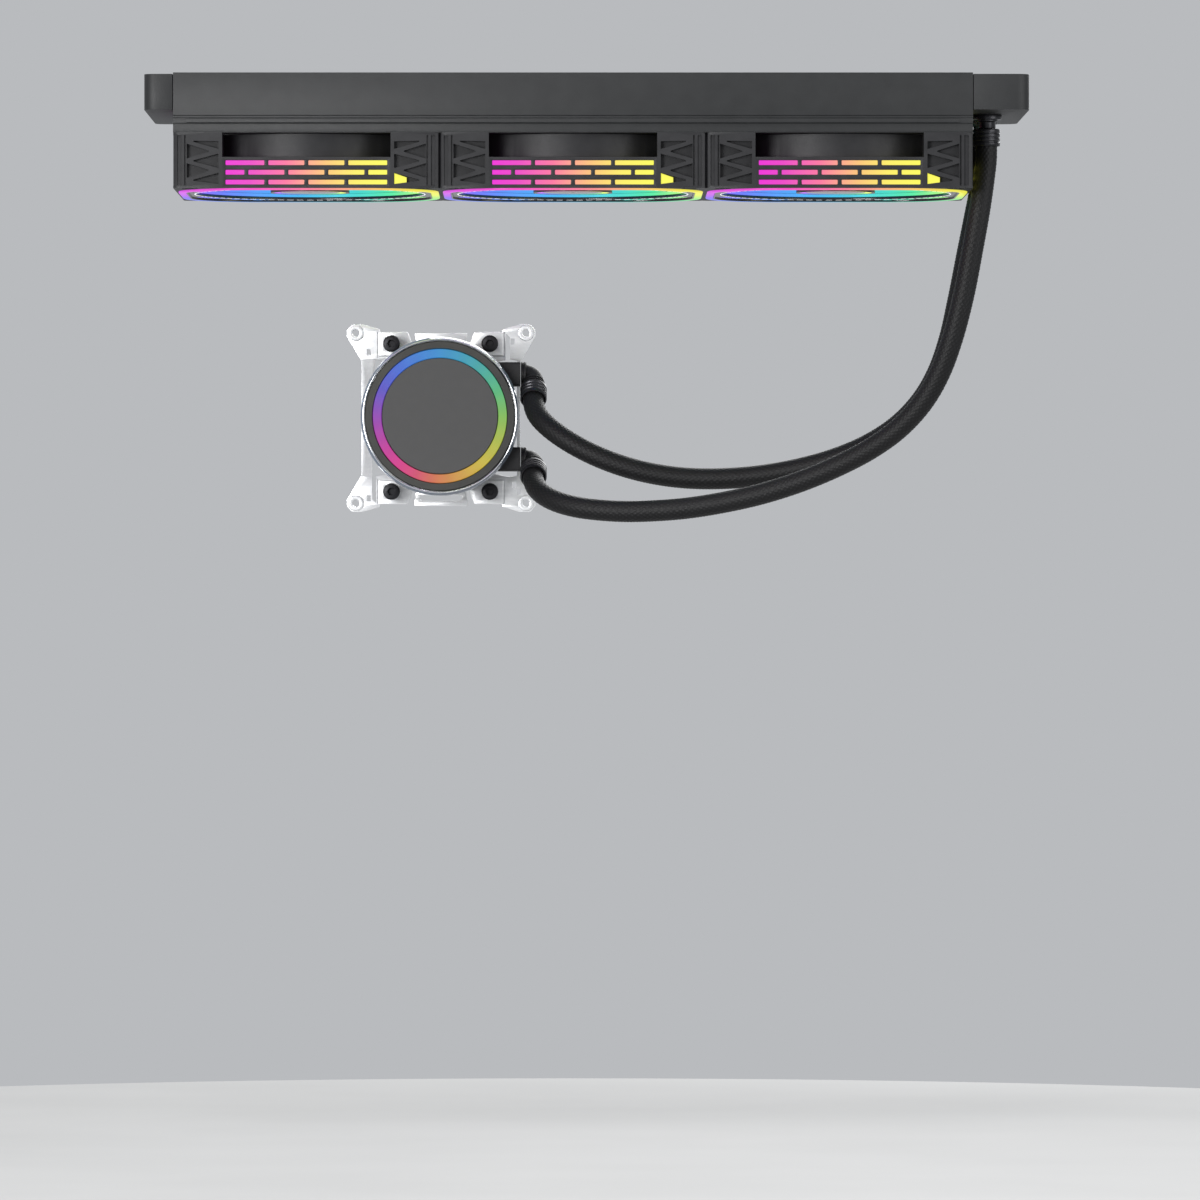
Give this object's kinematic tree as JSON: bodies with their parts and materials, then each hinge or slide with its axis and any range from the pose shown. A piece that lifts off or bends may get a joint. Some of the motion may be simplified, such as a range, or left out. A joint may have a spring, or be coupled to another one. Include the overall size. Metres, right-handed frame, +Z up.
{
  "type": "sealed liquid cpu cooler",
  "caption": "Sealed liquid cooler: slim radiator with lit fans under it, sleeved hoses and a round lit pump head in a steel socket bracket.",
  "frame": {"origin": "centre of the radiator's top plane, level with the tops of its two side rails", "axes": "+X along the radiator to its hose end, +Z up out of the radiator's top, -Y towards the side that the pump head's lit cap faces"},
  "size_m": [0.4008, 0.1866, 0.201],
  "materials": {
    "fin_metal": "black-coated fins and tubes, satin",
    "black_paint": "fine-textured black powder coat",
    "fitting_black": "satin black plated fitting",
    "black_plastic": "moulded black, satin",
    "trim_plastic": "semi-gloss black trim",
    "light_diffuser": "lit diffuser, hue runs round the ring",
    "side_diffuser": "lit diffuser bars, hue runs along the side",
    "hub_diffuser": "lit white diffuser",
    "milky_plastic": "translucent milky blades",
    "winding": "enamelled copper wire on steel poles",
    "copper": "machined copper",
    "gasket_rubber": "matte seal",
    "white_plastic": "moulded white",
    "ceramic_white": "polished ceramic pin",
    "board": "circuit board",
    "cap_band": "smoked gloss band",
    "cap_diffuser": "lit diffuser, hue runs round the ring",
    "cap_disc": "matte grey disc",
    "chrome_trim": "polished",
    "clear_plastic": "clear bevel",
    "bracket_steel": "bright stamped steel",
    "screw_black": "black oxide",
    "spring_steel": "drawn spring wire",
    "hose_sleeve": "fine black braid over rubber tube"
  },
  "bodies": {
    "cooler": {"radiator_core": "fin_metal", "front_rail": "black_paint", "back_rail": "black_paint", "hose_tank": "black_paint", "return_tank": "black_paint", "fill_plug": "black_paint", "front_radiator_barb": "black_paint", "front_radiator_ferrule": "fitting_black", "back_radiator_barb": "black_paint", "back_radiator_ferrule": "fitting_black", "fan_frame_1": "black_plastic", "fan_trim_1": "trim_plastic", "fan_light_ring_1": "light_diffuser", "fan_side_light_1": "side_diffuser", "fan_stator_1": "winding", "fan_frame_2": "black_plastic", "fan_trim_2": "trim_plastic", "fan_light_ring_2": "light_diffuser", "fan_side_light_2": "side_diffuser", "fan_stator_2": "winding", "fan_frame_3": "black_plastic", "fan_trim_3": "trim_plastic", "fan_light_ring_3": "light_diffuser", "fan_side_light_3": "side_diffuser", "fan_stator_3": "winding", "cold_plate": "copper", "plate_gasket": "gasket_rubber", "pump_body": "black_plastic", "jet_plate": "white_plastic", "impeller_shaft": "ceramic_white", "pump_stator": "winding", "motor_board": "board", "light_board": "board", "cap_band": "cap_band", "cap_light_ring": "cap_diffuser", "cap_disc": "cap_disc", "cap_chrome_ring": "chrome_trim", "cap_clear_skirt": "clear_plastic", "retention_bracket": "bracket_steel", "screw_spring_1": "spring_steel", "screw_spring_2": "spring_steel", "screw_spring_3": "spring_steel", "screw_spring_4": "spring_steel", "upper_elbow": "fitting_black", "upper_ferrule": "fitting_black", "upper_hose": "hose_sleeve", "lower_elbow": "fitting_black", "lower_ferrule": "fitting_black", "lower_hose": "hose_sleeve"},
    "fan_rotor_1": {"fan_rotor_1": "milky_plastic", "fan_hub_light_1": "hub_diffuser"},
    "fan_rotor_2": {"fan_rotor_2": "milky_plastic", "fan_hub_light_2": "hub_diffuser"},
    "fan_rotor_3": {"fan_rotor_3": "milky_plastic", "fan_hub_light_3": "hub_diffuser"},
    "pump_impeller": {"impeller": "black_plastic"},
    "captive_screw_1": {"spring_screw_1": "screw_black"},
    "captive_screw_2": {"spring_screw_2": "screw_black"},
    "captive_screw_3": {"spring_screw_3": "screw_black"},
    "captive_screw_4": {"spring_screw_4": "screw_black"}
  },
  "joints": [
    {"name": "fan_spin_1", "type": "hinge", "parent": "cooler", "child": "fan_rotor_1", "pos_m": [-0.12, 0, -0.04], "axis": [0, 0, 1], "continuous": true},
    {"name": "fan_spin_2", "type": "hinge", "parent": "cooler", "child": "fan_rotor_2", "pos_m": [0, 0, -0.04], "axis": [0, 0, 1], "continuous": true},
    {"name": "fan_spin_3", "type": "hinge", "parent": "cooler", "child": "fan_rotor_3", "pos_m": [0.12, 0, -0.04], "axis": [0, 0, 1], "continuous": true},
    {"name": "impeller_spin", "type": "hinge", "parent": "cooler", "child": "pump_impeller", "pos_m": [-0.0617, 0.104, -0.1515], "axis": [0, 1, 0], "continuous": true},
    {"name": "screw_press_1", "type": "slide", "parent": "cooler", "child": "captive_screw_1", "axis": [0, 1, 0], "range_m": [0, 0.004], "stiffness_N_per_m": 900, "springref_m": -0.001, "deforming": ["screw_spring_1"]},
    {"name": "screw_press_2", "type": "slide", "parent": "cooler", "child": "captive_screw_2", "axis": [0, 1, 0], "range_m": [0, 0.004], "stiffness_N_per_m": 900, "springref_m": -0.001, "deforming": ["screw_spring_2"]},
    {"name": "screw_press_3", "type": "slide", "parent": "cooler", "child": "captive_screw_3", "axis": [0, 1, 0], "range_m": [0, 0.004], "stiffness_N_per_m": 900, "springref_m": -0.001, "deforming": ["screw_spring_3"]},
    {"name": "screw_press_4", "type": "slide", "parent": "cooler", "child": "captive_screw_4", "axis": [0, 1, 0], "range_m": [0, 0.004], "stiffness_N_per_m": 900, "springref_m": -0.001, "deforming": ["screw_spring_4"]}
  ]
}
